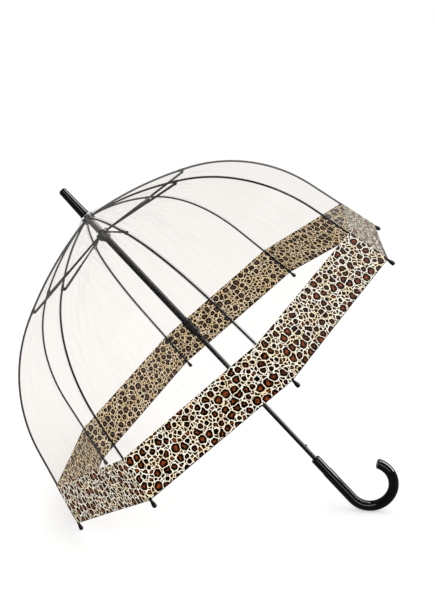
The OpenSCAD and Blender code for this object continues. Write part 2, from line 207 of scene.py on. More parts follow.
def piece(name, shells, materials, body, replaces=()):
    """One object at the origin, made of shells, which rides on a body and hides the CAD nodes it
    replaces.
    """
    faces, slots, start = [], [], 0
    for s in shells:
        for block in s["faces"]:
            faces.extend((block + start).tolist())
            slots.extend([s["slot"]] * len(block))
        start += len(s["verts"])
    mesh = bpy.data.meshes.new(name)
    mesh.from_pydata(np.concatenate([s["verts"] for s in shells]).tolist(), [], faces)
    mesh.polygons.foreach_set("use_smooth", np.ones(len(faces), bool))
    mesh.polygons.foreach_set("material_index", np.array(slots, np.int32))
    for material in materials:
        mesh.materials.append(material)
    if shells[0]["uv"] is not None:
        corners = np.empty(len(mesh.loops), np.int32)
        mesh.loops.foreach_get("vertex_index", corners)
        flat = np.concatenate([s["uv"].reshape(-1, 2) for s in shells])
        mesh.uv_layers.new(name="millimetres").data.foreach_set("uv", flat[corners].ravel())
    mesh.validate()
    obj = bpy.data.objects.new(name, mesh)
    bpy.context.scene.collection.objects.link(obj)
    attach(obj, body)
    if replaces:
        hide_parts(*replaces)
    return obj


# Polished tooling leaves a skin with no grain to see, so that lights show as sharp thin lines.
GLOSS_ABS = moulded("glossy black moulded ABS", "#010101", "#020202", 0.05, 0.9, 0.001, 0.06)

ferrule_profile = eased(
    [
        (0.01, -70.0, 0),
        (5.2, -70.0, 1.2),
        (8.2, -66.6, 1.8),
        (8.25, -60.4, 0.25),
        (7.95, -60.0, 0.15),
        (7.95, -59.4, 0.15),
        (8.3, -59.0, 0.25),
        (9.6, -5.2, 1.0),
        (10.4, -3.6, 0.5),
        (10.4, -1.4, 0.15),
        (5.1, -1.3, 0),
    ]
)
piece(
    "Ferrule",
    [shell(turned(ferrule_profile), around=True, ends=True)],
    [GLOSS_ABS],
    "shaft_frame",
    ["ferrule"],
)


# ---- Clear washer ---------------------------------------------------------------------------
# A clear PVC washer, stamped from sheet, that spreads the ferrule's load on the film. Its cut
# rim is polished and catches the light.


def clear_skin(name, tint, haze, roughness, rim):
    """Clear soft plastic: a tinted see-through layer under a gloss.

    The gloss has a share of 0.06 where the skin faces the eye, and of rim where it is edge on.
    """
    material, tree, output = new_material(name)
    through = add_node(tree, "ShaderNodeBsdfTransparent", {"Color": linear(tint)})
    gloss = add_node(
        tree,
        "ShaderNodeBsdfPrincipled",
        {"Base Color": linear(haze), "Roughness": roughness, "IOR": 1.53},
    )
    facing = add_node(tree, "ShaderNodeLayerWeight", {"Blend": 0.35}).outputs["Facing"]
    share = add_node(tree, "ShaderNodeMapRange", [facing, 0.0, 1.0, 0.06, rim]).outputs["Result"]
    mix = add_node(tree, "ShaderNodeMixShader", [share, through.outputs[0], gloss.outputs[0]])
    tree.links.new(mix.outputs[0], output.inputs["Surface"])
    return material


def closed(profile):
    """A profile that ends where it starts."""
    return np.vstack([profile, profile[:1]])


# Clear with a cold tint, and bright all round its rim.
WASHER_PVC = clear_skin("clear polished PVC washer", "#e3ecf2", "#f4f8fb", 0.08, 0.85)

washer_profile = eased(
    [(5.2, -1.15, 0), (13.0, -1.15, 0.4), (13.6, -0.6, 0.4), (13.0, -0.05, 0.4), (5.2, -0.05, 0)]
)
piece(
    "Clear_washer",
    [shell(turned(closed(washer_profile)), around=True)],
    [WASHER_PVC],
    "shaft_frame",
    ["crown_washer"],
)


# ---- Top notch and its pins -----------------------------------------------------------------
# The slotted ring that holds the eight rib ends, die-cast in zinc and dull plated. A grey
# spacer collar under it keeps the runner off the pins.

# Dull plating over a cast skin is a warm dark grey, with a wide soft highlight.
PLATED_ZINC = moulded("dull plated zinc", "#35322d", "#4a463f", 0.42, 0.5, 0.01, 0.15)

collar_profile = eased(
    [
        (5.1, 19.3, 0),
        (6.6, 19.3, 0.4),
        (6.9, 24.0, 1.0),
        (6.9, 36.0, 1.0),
        (7.8, 41.2, 0.5),
        (5.1, 41.2, 0),
    ]
)
piece(
    "Spacer_collar",
    [shell(turned(closed(collar_profile)), around=True)],
    [PLATED_ZINC],
    "shaft_frame",
)


def dress(material, slot_name, *nodes):
    """Gives CAD nodes a material in place of their plain one."""
    for node in nodes:
        obj = frame["nodes"][node]
        obj.data.materials.clear()
        obj.data.materials.append(material)


dress(PLATED_ZINC, "plated_steel", "top_notch", "notch_pins")


# ---- Shaft and catches ----------------------------------------------------------------------
# A thin steel tube, powder coated semi-gloss black. Two slots in its upper side hold the
# catches, which are pressed from plated sheet and sprung outwards.

# The coating flows out smooth, with a skin too fine to see, and shows one soft line of light.
COATED_STEEL = moulded("black powder-coated steel", "#010101", "#030304", 0.2, 0.8, 0.001, 0.06)
dress(COATED_STEEL, "black_steel_tube", "shaft")
dress(PLATED_ZINC, "plated_steel", "top_catch", "lower_catch")


# ---- Handle ---------------------------------------------------------------------------------
# A J-hook injection moulded in glossy black ABS. Its slimmer top has a chamfered rim round the
# shaft, the grip swells a little, and the free end is closed by a ringed plug.

HOOK_RADIUS = 49.0
HOOK_TURN = math.radians(210)
COLLAR_DEPTH = 696.0
BEND_DEPTH = 816.0
STRAIGHT = BEND_DEPTH - COLLAR_DEPTH
HOOK_END = STRAIGHT + HOOK_RADIUS * HOOK_TURN


def hook_angle(s):
    """The angle turned at length s along the handle: (s - straight) / R, and none before that."""
    return np.clip((s - STRAIGHT) / HOOK_RADIUS, 0, None)


def handle_line(s):
    """The middle of the handle at length s, straight and then round the hook.

    With the angle a, x = R - R cos(a) and depth = collar + min(s, straight) + R sin(a).
    """
    a = hook_angle(s)
    depth = COLLAR_DEPTH + np.minimum(s, STRAIGHT) + HOOK_RADIUS * np.sin(a)
    return on_umbrella(HOOK_RADIUS * (1 - np.cos(a)), 0.0, depth)


def rings(centres, across, along, radii, sides):
    """Circles round a line in a plane: centre + r * (cos * across + sin * out), with r in mm.

    across is square to the plane, and out is square to both across and the line's direction.
    """
    out = unit(np.cross(along, across))
    angle = np.linspace(0, 2 * math.pi, sides, endpoint=False)[None, :, None]
    spread = np.cos(angle) * across + np.sin(angle) * out[:, None, :]
    return centres[:, None, :] + spread * radii[:, None, None] / 1000


# Each corner is a length along the handle, a radius and an ease. The last six are the plug.
handle_profile = eased(
    [
        (0.0, 5.05, 0),
        (0.0, 8.5, 0.5),
        (1.5, 10.0, 0.6),
        (37.0, 10.0, 1.5),
        (41.0, 10.9, 1.5),
        (150.0, 10.95, 20.0),
        (HOOK_END - 4.2, 10.9, 0.3),
        (HOOK_END - 3.6, 10.45, 0.25),
        (HOOK_END - 3.0, 10.45, 0.25),
        (HOOK_END - 2.4, 10.8, 0.3),
        (HOOK_END + 0.6, 10.6, 0.8),
        (HOOK_END + 2.2, 8.6, 0.9),
        (HOOK_END + 2.2, 7.2, 0.4),
        (HOOK_END + 1.5, 6.8, 0.4),
        (HOOK_END + 1.5, 0.02, 0),
    ]
)
# The bend needs a ring every few mm, so more rows are set between the collar and the plug.
grip_rows = int((handle_profile[:, 0] < HOOK_END - 5.0).sum())
between = np.linspace(44.0, HOOK_END - 7.0, 96)
bend_rows = np.column_stack([between, np.interp(between, *handle_profile[: grip_rows + 1].T)])
grip_and_bend = np.vstack([handle_profile[:grip_rows], bend_rows])
grip_and_bend = grip_and_bend[np.argsort(grip_and_bend[:, 0], kind="stable")]
lengths, radii = np.vstack([grip_and_bend, handle_profile[grip_rows:]]).T

hook_turned = hook_angle(lengths)
heading = unit(on_umbrella(np.sin(hook_turned), 0.0, np.cos(hook_turned)) - crown)
past_end = np.clip(lengths - HOOK_END, 0, None)
handle_centres = handle_line(lengths - past_end) + heading * past_end[:, None] / 1000
piece(
    "Handle",
    [shell(rings(handle_centres, level, heading, radii, 64), around=True, ends=True)],
    [GLOSS_ABS],
    "shaft_frame",
    ["handle"],
)


# ---- Runner ---------------------------------------------------------------------------------
# The runner slides on the shaft and carries the stretchers. Its slotted hub, neck tube and
# finger grip are moulded in satin black nylon, and the grip's flanges are scalloped.

# Nylon from a fine-etched tool is satin: the lights spread along it. The hub is worn greyer.
SATIN_NYLON = moulded("satin black moulded nylon", "#010101", "#020203", 0.3, 0.6, 0.002, 0.04)
HUB_NYLON = moulded("grey-black moulded nylon", "#0e0d0c", "#181614", 0.4, 0.6, 0.01, 0.12)
dress(HUB_NYLON, "matte_black_plastic", "runner_hub")
dress(SATIN_NYLON, "matte_black_plastic", "runner_tube")
dress(PLATED_ZINC, "plated_steel", "runner_pins")

GRIP_BOTTOM = 332.0
SCALLOPS = 10
SCALLOP_DEPTH = 0.55
grip_profile = eased(
    [
        (6.85, GRIP_BOTTOM - 41.0, 0),
        (7.6, GRIP_BOTTOM - 40.0, 0.4),
        (9.2, GRIP_BOTTOM - 35.5, 1.0),
        (11.6, GRIP_BOTTOM - 33.4, 0.8),
        (12.2, GRIP_BOTTOM - 31.6, 0.6),
        (11.6, GRIP_BOTTOM - 29.4, 0.8),
        (9.1, GRIP_BOTTOM - 27.6, 1.0),
        (8.7, GRIP_BOTTOM - 14.0, 2.0),
        (10.6, GRIP_BOTTOM - 10.8, 1.0),
        (10.9, GRIP_BOTTOM - 8.8, 0.7),
        (10.2, GRIP_BOTTOM - 7.0, 0.8),
        (8.2, GRIP_BOTTOM - 5.4, 1.0),
        (7.7, GRIP_BOTTOM - 0.8, 0.5),
        (7.2, GRIP_BOTTOM, 0.3),
        (6.0, GRIP_BOTTOM, 0),
    ]
)
# A flange starts beyond a radius of 9.2 and is cut back by depth * (1 - cos(10 * angle)) / 2.
grip_angle = np.linspace(0, 2 * math.pi, 96, endpoint=False)
flange = np.clip((grip_profile[:, :1] - 9.2) / 2.5, 0, 1)
cut_back = SCALLOP_DEPTH * flange * (1 - np.cos(SCALLOPS * grip_angle)) / 2
grip_radius = grip_profile[:, :1] - cut_back
grip_points = on_umbrella(
    grip_radius * np.cos(grip_angle), grip_radius * np.sin(grip_angle), grip_profile[:, 1:2]
)
piece(
    "Runner_grip",
    [shell(grip_points, around=True, flip=True)],
    [SATIN_NYLON],
    "runner",
    ["runner_grip"],
)


# ---- Ribs -----------------------------------------------------------------------------------
# Pultruded fibreglass rods, black all through, sprung into a curve by the film. Each has a
# crimped eye at the notch and a moulded bracket, with a lug for its stretcher.

RIB_TURN = math.radians(45)


def on_rib(n, radius, depth, side=0.0):
    """Places radius, depth and side in the plane of rib n, which stands at (n - 1/2) * 45 degrees."""
    turn = (n - 0.5) * RIB_TURN
    return on_umbrella(
        radius * math.cos(turn) - side * math.sin(turn),
        radius * math.sin(turn) + side * math.cos(turn),
        depth,
    )


def sideways(n):
    """The direction square to the plane of rib n."""
    turn = (n - 0.5) * RIB_TURN
    return unit(on_umbrella(-math.sin(turn), math.cos(turn), 0.0) - crown)


# Places are (radius, depth) in the plane of a rib. A rib has a short straight root, an arc to
# its bracket, the bracket, a second arc, and a straight end that leans out by 15.3 degrees.
ROD_R = 1.95
ROOT = 6.0
BRACKET = np.array([209.0, 66.0])
BRACKET_SLOPE = math.radians(24)
BRACKET_HALF = 8.0
LUG_DROP = 5.2
HEM = np.array([437.0, 434.0])
LEAN = math.radians(15.3)

end_dir = np.array([math.sin(LEAN), math.cos(LEAN)])
end_slope = math.pi / 2 - LEAN
bracket_dir = np.array([math.cos(BRACKET_SLOPE), math.sin(BRACKET_SLOPE)])
bracket_start = BRACKET - BRACKET_HALF * bracket_dir
bracket_end = BRACKET + BRACKET_HALF * bracket_dir
lug_point = BRACKET + LUG_DROP * np.array([-math.sin(BRACKET_SLOPE), math.cos(BRACKET_SLOPE)])

# An arc's two tangents, from where they cross to its ends, are equally long. That reach follows
# from the straights on either side, and the radius is reach / tan(half the turn).
inner_run = bracket_start - NOTCH_PIVOT
inner_reach = (inner_run @ inner_run - ROOT**2) / (2 * (inner_run @ bracket_dir + ROOT))
root_dir = unit(bracket_start - inner_reach * bracket_dir - NOTCH_PIVOT)
root_slope = math.atan2(root_dir[1], root_dir[0])
inner_radius = inner_reach / math.tan((BRACKET_SLOPE - root_slope) / 2)
to_hem = HEM - bracket_end
outer_reach = (to_hem[0] * end_dir[1] - to_hem[1] * end_dir[0]) / (
    bracket_dir[0] * end_dir[1] - bracket_dir[1] * end_dir[0]
)
outer_radius = outer_reach / math.tan((end_slope - BRACKET_SLOPE) / 2)
arc_end = bracket_end + outer_reach * (bracket_dir + end_dir)


def arc(through, radius, at_slope, slopes):
    """Points of an arc that passes a point at a slope: centre + radius * (sin, -cos) of the slope."""
    centre = through + radius * np.array([-math.sin(at_slope), math.cos(at_slope)])
    return centre + radius * np.stack([np.sin(slopes), -np.cos(slopes)], axis=-1)


# The upper rib ends half way round the outer arc, where the lower rib takes over.
flex_slope = (BRACKET_SLOPE + end_slope) / 2
inner_slopes = np.linspace(root_slope, BRACKET_SLOPE, 28)
outer_slopes = np.linspace(BRACKET_SLOPE, flex_slope, 26)
lower_slopes = np.linspace(flex_slope, end_slope, 26)
upper_rod = np.vstack(
    [
        NOTCH_PIVOT + 0.8 * root_dir,
        arc(bracket_start, inner_radius, BRACKET_SLOPE, inner_slopes),
        arc(bracket_end, outer_radius, BRACKET_SLOPE, outer_slopes),
    ]
)


def rod(n, line, radii, side=0.0, sides=20):
    """A round bar along a line of (radius, depth) in the plane of rib n."""
    centres = on_rib(n, line[:, 0], line[:, 1], side)
    along_line = unit(np.gradient(centres, axis=0))
    return shell(rings(centres, sideways(n), along_line, radii, sides), around=True, ends=True)


def bar(n, point, direction, profile, side=0.0, sides=20):
    """A straight bar through a point, by its profile of (distance along, radius)."""
    return rod(n, point + profile[:, :1] * direction, profile[:, 1], side, sides)


def boss(n, point, profile):
    """A boss turned about a pin that crosses the plane of rib n, by its profile of (radius, side)."""
    a = np.linspace(0, 2 * math.pi, 32, endpoint=False)
    radius, side = profile[:, :1], profile[:, 1:2]
    return shell(
        on_rib(n, point[0] + radius * np.cos(a), point[1] + radius * np.sin(a), side), around=True
    )


def lug(n, top, bottom, half_width, side_from, side_to):
    """A moulded tongue: rounded boxes from top to bottom, each |cos|^0.6 by |sin|^0.6 of an angle."""
    a = np.linspace(0, 2 * math.pi, 32, endpoint=False)
    oval = np.stack([np.cos(a), np.sin(a)], axis=-1)
    oval = np.sign(oval) * np.abs(oval) ** 0.6
    centre = top + (bottom - top) * np.linspace(0, 1, 12)[:, None]
    length_dir = unit(bottom - top)
    width_dir = np.array([length_dir[1], -length_dir[0]])
    place = centre[:, None, :] + oval[None, :, :1] * half_width * width_dir
    side = (side_from + side_to) / 2 + (side_to - side_from) / 2 * oval[None, :, 1]
    return shell(on_rib(n, place[..., 0], place[..., 1], side), around=True, ends=True)


# Drawn through a die, the rod is smooth and close to true black, with a thin satin highlight.
PULTRUDED = moulded("black pultruded fibreglass", "#010101", "#020203", 0.3, 0.6, 0.001, 0.03)

EYE = closed(
    eased(
        [
            (1.0, -1.6, 0),
            (2.2, -1.6, 0.4),
            (2.6, -1.2, 0.4),
            (2.6, 1.2, 0.4),
            (2.2, 1.6, 0.4),
            (1.0, 1.6, 0),
        ]
    )
)
LUG_BOSS = closed(
    eased(
        [
            (0.9, -0.9, 0),
            (2.2, -0.9, 0.4),
            (2.6, -0.5, 0.4),
            (2.6, 2.2, 0.4),
            (2.2, 2.6, 0.4),
            (0.9, 2.6, 0),
        ]
    )
)
sleeve_half = np.array([(0, 2.6), (3, 2.55), (6.5, 2.5), (7.7, 2.3), (8.0, 2.0)])
SLEEVE = np.vstack([sleeve_half[:0:-1] * (-1, 1), sleeve_half])
for n in RIBS:
    piece(
        f"Rib_upper_{n}",
        [
            rod(n, upper_rod, np.full(len(upper_rod), ROD_R)),
            boss(n, NOTCH_PIVOT, EYE),
            bar(n, BRACKET, bracket_dir, SLEEVE),
            lug(n, BRACKET + 0.6 * end_dir, lug_point, half_width=3.6, side_from=-1.6, side_to=1.9),
            boss(n, lug_point, LUG_BOSS),
        ],
        [PULTRUDED],
        f"upper_{n}",
        [f"rib_upper_{n}"],
    )


# ---- Lower ribs and tip caps ----------------------------------------------------------------
# Each rod runs on to the hem in one piece, with no joint that shows. The cap that ends it is
# nylon, moulded with a slim sleeve, a waist where the hem is tied, and a bulb.

lower_rod = np.vstack(
    [
        arc(bracket_end, outer_radius, BRACKET_SLOPE, lower_slopes),
        HEM - 40 * end_dir,
        HEM - 8 * end_dir,
        HEM + 3 * end_dir,
    ]
)
half_turn = np.linspace(0.02, math.pi - 0.02, 15)
FLEX_BALL = ROD_R * np.column_stack([-np.cos(half_turn), np.sin(half_turn)])
CAP = np.array(
    [
        (-9.0, 2.0),
        (-8.7, 2.3),
        (-7.5, 2.45),
        (-1.5, 2.5),
        (-0.6, 2.6),
        (0.6, 2.6),
        (1.6, 2.5),
        (4.0, 2.9),
        (7.0, 3.6),
        (9.5, 4.15),
        (12.0, 4.3),
        (14.2, 3.8),
        (15.4, 2.6),
        (15.9, 1.2),
        (16.0, 0.1),
    ]
)
for n in RIBS:
    piece(
        f"Rib_lower_{n}",
        [
            rod(n, lower_rod, np.full(len(lower_rod), ROD_R)),
            bar(n, lower_rod[0], root_dir, FLEX_BALL),
            bar(n, HEM, end_dir, CAP, sides=28),
        ],
        [PULTRUDED],
        f"lower_{n}",
        [f"rib_lower_{n}"],
    )


# ---- Stretchers -----------------------------------------------------------------------------
# Painted steel wire struts between the runner and the brackets. A moulded fork is pushed over
# the outer end of each and turns on a rivet through the bracket's lug.

HUB_PIVOT = np.array([12.0, 50.0])
STRETCHER_SIDE = 4.6
WIRE_R = 1.7

strut_length = np.linalg.norm(lug_point - HUB_PIVOT)
strut_dir = unit(lug_point - HUB_PIVOT)
WIRE = np.array([(s, WIRE_R) for s in (1.0, 6.0, 60.0, strut_length - 78.0)])
FORK = np.array(
    [
        (-80.0, 1.75),
        (-79.5, 2.0),
        (-77.0, 2.2),
        (-60.0, 2.3),
        (-24.0, 2.3),
        (-20.0, 2.35),
        (-16.0, 2.4),
        (-4.0, 2.4),
        (-1.0, 2.2),
        (0.6, 1.4),
    ]
)
beside_rib = np.array([0.0, STRETCHER_SIDE])
STRUT_EYE = beside_rib + closed(
    eased(
        [
            (0.9, -1.2, 0),
            (2.0, -1.2, 0.3),
            (2.35, -0.9, 0.3),
            (2.35, 0.9, 0.3),
            (2.0, 1.2, 0.3),
            (0.9, 1.2, 0),
        ]
    )
)
RIVET = beside_rib + eased(
    [
        (0.02, 2.7, 0),
        (1.3, 2.6, 0.4),
        (1.7, 2.0, 0.3),
        (1.5, 1.5, 0.2),
        (0.75, 1.4, 0.2),
        (0.75, -1.7, 0),
    ]
)
# Paint on thin wire is black all over, with a line of light down its side.
PAINTED_WIRE = moulded("black painted steel wire", "#010101", "#020203", 0.28, 0.6, 0.001, 0.04)
for n in RIBS:
    piece(
        f"Stretcher_{n}",
        [
            bar(n, HUB_PIVOT, strut_dir, WIRE, STRETCHER_SIDE),
            bar(n, lug_point, strut_dir, FORK, STRETCHER_SIDE),
            boss(n, HUB_PIVOT, STRUT_EYE),
            boss(n, lug_point, STRUT_EYE),
            boss(n, lug_point, RIVET),
        ],
        [PAINTED_WIRE],
        f"stretcher_{n}",
        [f"stretcher_{n}"],
    )


# ---- Clear film -----------------------------------------------------------------------------
# Eight gores of clear soft PVC film, heat welded to each other along the ribs. The film is
# gathered under the washer, lies flat across between two ribs, and shows fine pulls and pleats.

FILM_OFF_ROD = 2.7
BORDER_W = 87.0
COLUMNS = 25
HALF_CHORD = math.sin(RIB_TURN / 2)


def off_rod(points, slopes):
    """Points moved off the rod by the film's distance times (sin, -cos) of the slope."""
    return points + FILM_OFF_ROD * np.stack([np.sin(slopes), -np.cos(slopes)], axis=-1)


def film_lines():
    """(radius, depth) of the film over a rib: from the washer to the flex, to the border, to the hem.

    The first six points are the gather, and the film joins the rod's arc at the seventh slope.
    """
    gather = [[6.3, 0.5], [10.0, 0.55], [13.8, 0.8], [18.0, 2.3], [25.0, 5.0], [35.0, 8.3]]
    inner, outer = inner_slopes[6:], outer_slopes[1:]
    upper = np.vstack(
        [
            gather,
            off_rod(arc(bracket_start, inner_radius, BRACKET_SLOPE, inner), inner),
            off_rod(arc(bracket_end, outer_radius, BRACKET_SLOPE, outer), outer),
        ]
    )
    border_top = HEM - BORDER_W * end_dir
    run_on = arc_end + np.linspace(0, 1, 8)[1:, None] * (border_top - arc_end)
    low_arc = arc(bracket_end, outer_radius, BRACKET_SLOPE, lower_slopes)
    lower = np.vstack([off_rod(low_arc, lower_slopes), off_rod(run_on, np.full(7, end_slope))])
    border = border_top + np.linspace(0, 1, 19)[:, None] * BORDER_W * end_dir
    return upper, lower, off_rod(border, np.full(19, end_slope))


def along(line):
    """The length along a line, from its start."""
    return np.concatenate([[0], np.cumsum(np.linalg.norm(np.diff(line, axis=0), axis=1))])


def across_gore(n, line, share, inward):
    """Film points beside rib n: share runs from -1/2 to 1/2, half way to the rib on either side.

    A gore is flat across, so a point lies on the chord from rib n to its neighbour:
    (1 - f) * here + f * there, with f = |share|. It is then pushed inward, towards the shaft.
    """
    f = np.abs(share)[None, :]
    radius = line[:, :1] - inward
    out = radius * (1 - f + f * math.cos(RIB_TURN))
    side = radius * f * math.sin(RIB_TURN) * np.sign(share)[None, :]
    return on_rib(n, out, line[:, 1:2], side)


def pulls(n, lengths, share):
    """Pleats and pulls in mm, the same on both halves of a gore and nothing at the ribs.

    Each is height * (1 - cos(2 pi m f)) / 2 with m waves across the gore. The pleats rise from the
    crown and fade with the length s, and one slow wave of up to 1.4 mm goes on to the border.
    """
    total = np.zeros((len(lengths), len(share)))
    s = lengths[:, None]
    for sign in (-1, 1):
        gore = n if sign > 0 else (n - 2) % 8 + 1
        rng = np.random.default_rng(100 + gore)
        f = np.where(np.sign(share) == sign, np.abs(share), 0.0)[None, :]
        for m, height, fade in ((1, 1.6, 260.0), (3, 0.8, 90.0), (5, 0.7, 60.0), (8, 0.45, 45.0)):
            phase, strength = rng.uniform(0, 2 * math.pi), rng.uniform(0.5, 1.0)
            rise = np.clip((s - 14) / 30, 0, 1) * np.exp(-s / fade)
            pleat = strength * height * rise * (1 + 0.4 * np.sin(s / 35 + phase))
            total += pleat * (1 - np.cos(2 * math.pi * m * f)) / 2
        slack = 0.9 * rng.uniform(0.5, 1.5)
        wave = slack * np.sin(s / 95 + rng.uniform(0, 6)) * np.clip((s - 60) / 120, 0, 1)
        total += wave * (1 - np.cos(2 * math.pi * f)) / 2
    return total


def clear_film():
    """Clear film with weld lines beside the ribs and streaks of painted shade, over a UV map in mm.

    u is the distance from the rib and v from the crown. A weld line is where |u| is within 0.45 of
    3.3 mm. The streaks are painted shade for the shade in the film's fine wrinkles: grey, 9 mm wide
    and 120 mm long, drawn out from the crown, and fading with v.
    """
    material, tree, output = new_material("clear soft PVC film")
    uv = add_node(tree, "ShaderNodeUVMap", uv_map="millimetres").outputs[0]
    split = add_node(tree, "ShaderNodeSeparateXYZ", [uv])
    off_seam = add_node(
        tree, "ShaderNodeMath", [split.outputs["X"]], operation="ABSOLUTE"
    ).outputs[0]
    weld = add_node(tree, "ShaderNodeMath", [off_seam, 3.3, 0.45], operation="COMPARE").outputs[0]
    drawn = add_node(
        tree, "ShaderNodeMapping", {"Vector": uv, "Scale": (1 / 9.0, 1 / 120.0, 1.0)}
    ).outputs[0]
    streaks = add_node(
        tree,
        "ShaderNodeTexNoise",
        {"Vector": drawn, "Scale": 1.0, "Detail": 4.0, "Roughness": 0.6},
    ).outputs["Fac"]
    streak = add_node(tree, "ShaderNodeMapRange", [streaks, 0.48, 0.72, 0.0, 1.0]).outputs[0]
    # Painted shade: the streaks grey the film's tint, from 0.3 near the crown to 0.04 at 380 mm, for
    # the shade in its fine wrinkles.
    crown_shade_fade = add_node(
        tree, "ShaderNodeMapRange", [split.outputs["Y"], 40.0, 380.0, 0.3, 0.04]
    ).outputs[0]
    haze = add_node(tree, "ShaderNodeMath", [streak, crown_shade_fade], operation="MULTIPLY").outputs[0]
    # The grey that the painted shade mixes in. haze is this painted shade's strength, and it also
    # raises the gloss below.
    streak_shaded_tint = add_node(
        tree,
        "ShaderNodeMix",
        {"Factor": haze, "A": linear("#f8f6f4"), "B": linear("#86858a")},
        data_type="RGBA",
    ).outputs[2]
    tint = add_node(
        tree,
        "ShaderNodeMix",
        {"Factor": weld, "A": streak_shaded_tint, "B": linear("#9da0a6")},
        data_type="RGBA",
    ).outputs[2]
    through = add_node(tree, "ShaderNodeBsdfTransparent", {"Color": tint})
    bump = add_node(
        tree, "ShaderNodeBump", {"Height": streaks, "Distance": 0.0006, "Strength": 0.35}
    ).outputs["Normal"]
    gloss = add_node(
        tree,
        "ShaderNodeBsdfPrincipled",
        {"Base Color": linear("#e9e7e6"), "Roughness": 0.16, "IOR": 1.53, "Normal": bump},
    )
    facing = add_node(tree, "ShaderNodeLayerWeight", {"Blend": 0.5}).outputs["Facing"]
    rim = add_node(tree, "ShaderNodeMath", [facing, 3.0], operation="POWER").outputs[0]
    gain = add_node(
        tree, "ShaderNodeMath", [rim, 0.13, 0.008], operation="MULTIPLY_ADD"
    ).outputs[0]
    gloss_share = add_node(
        tree, "ShaderNodeMath", [haze, 0.15, gain], operation="MULTIPLY_ADD", use_clamp=True
    ).outputs[0]
    mix = add_node(
        tree, "ShaderNodeMixShader", [gloss_share, through.outputs[0], gloss.outputs[0]]
    )
    tree.links.new(mix.outputs[0], output.inputs["Surface"])
    return material


def chord(points):
    """The direction of the middle row of a grid of points, from its first column to its last."""
    row = points[len(points) // 2]
    return unit(row[-1] - row[0])


def gathers(strip, n, line, axis):
    """Gives a strip a mesh of its own. An anchor on rib n is worked out, and nothing uses it."""
    anchor = on_rib(n, *line[len(line) // 2])
    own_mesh(strip)


def film_piece(name, n, line, lengths, shares, body, replaces):
    """One strip of film beside rib n, over a range of shares, with UVs in mm."""
    points = across_gore(n, line, shares, pulls(n, lengths, shares))
    u = 2 * shares[None, :] * line[:, :1] * HALF_CHORD
    uv = np.stack([u, np.broadcast_to(lengths[:, None], u.shape)], axis=-1)
    strip = piece(name, [shell(points, uv=uv)], [CLEAR_PVC], body, replaces)
    return strip, points


# Cast film is all but invisible face on. Its weld lines show grey, its streaks are painted shade
# that greys it for the shade in its fine wrinkles, and edge on it whitens with gloss. The streaks
# stand for many finer ones, and are as coarse as it takes to show.
CLEAR_PVC = clear_film()

upper_line, lower_line, border_line = film_lines()
upper_s = along(upper_line)
lower_s = upper_s[-1] + along(lower_line)
full_share = np.linspace(-0.5, 0.5, 2 * COLUMNS - 1)
half_share = np.linspace(0.0, 0.5, COLUMNS)
for n in RIBS:
    whole, _ = film_piece(
        f"Film_upper_{n}", n, upper_line, upper_s, full_share, f"upper_{n}", [f"gore_upper_{n}"]
    )
    gathers(whole, n, upper_line, sideways(n))
    for half, sign in (("left", -1), ("right", 1)):
        strip, points = film_piece(
            f"Film_lower_{n}_{half}",
            n,
            lower_line,
            lower_s,
            (sign * half_share)[::sign],
            f"lower_{n}",
            [f"gore_lower_{n}"],
        )
        gathers(strip, n, lower_line, chord(points))


# ---- Printed border -------------------------------------------------------------------------
# A band of the same PVC, printed on its outside with a leopard pattern and welded to the clear
# film along its top. Its lower edge is folded over and bound, and the print shows paler inside.

BORDER_T = 0.35
PANEL_W = 2 * HEM[0] * HALF_CHORD
ROSETTE = 17.0
SMALL_SPOT = 8.2


